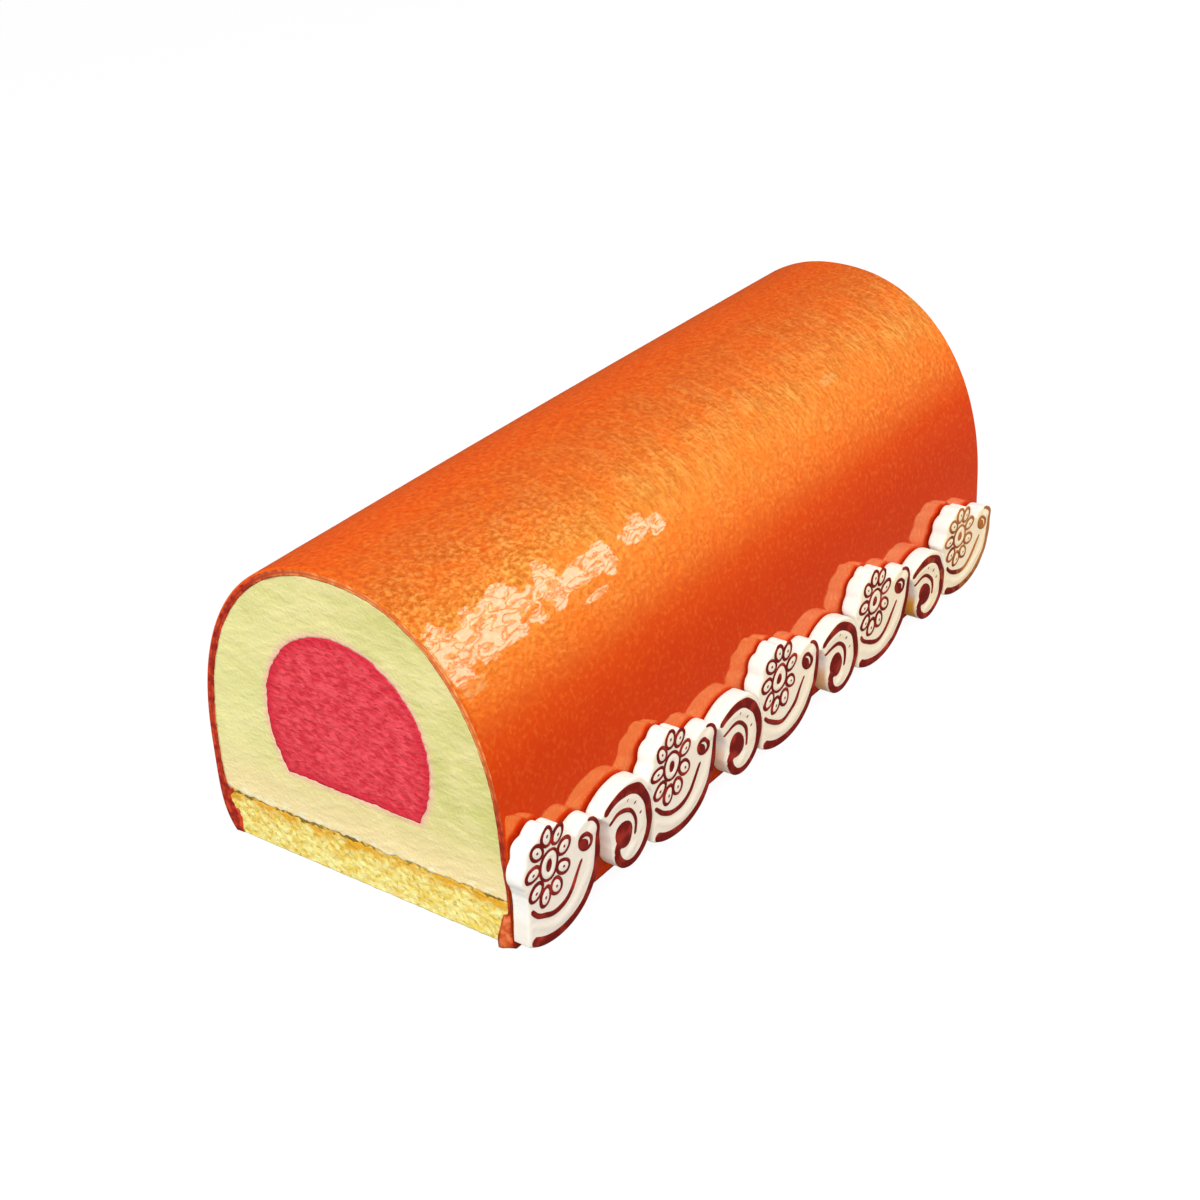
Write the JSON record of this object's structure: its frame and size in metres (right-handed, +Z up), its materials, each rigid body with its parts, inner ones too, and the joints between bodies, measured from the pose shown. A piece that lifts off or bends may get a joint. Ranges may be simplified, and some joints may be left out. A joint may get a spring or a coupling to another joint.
{
  "type": "yule log cake",
  "caption": "Arched mousse log cake on a sponge base, glazed, with a fruit centre running through it, cut square at both ends, and a frieze of flower and scroll plaques along one side.",
  "frame": {"origin": "the middle of the footprint, on the surface that the cake stands on", "axes": "+Y runs along the cake from the front cut to the far cut, +Z is up, and the frieze of plaques is on the +X side"},
  "size_m": [0.09, 0.205, 0.0767],
  "materials": {
    "glaze": "glossy orange mirror glaze with a pearly sheen",
    "mousse": "matt pale yellow mousse, cut with a knife",
    "fruit": "matt raspberry-red set fruit mousse, cut with a knife",
    "sponge": "open-crumbed yellow sponge",
    "plaque": "smooth white moulded chocolate",
    "maroon_line": "maroon food colour painted in the moulded lines"
  },
  "bodies": {
    "root": {"glaze_coat": "glaze", "mousse_loaf": "mousse", "fruit_centre": "fruit", "sponge_base": "sponge", "flower_plaque_1": "plaque", "flower_plaque_2": "plaque", "flower_plaque_3": "plaque", "flower_plaque_4": "plaque", "flower_plaque_5": "plaque", "scroll_plaque_1": "plaque", "scroll_plaque_2": "plaque", "scroll_plaque_3": "plaque", "scroll_plaque_4": "plaque"}
  },
  "joints": []
}
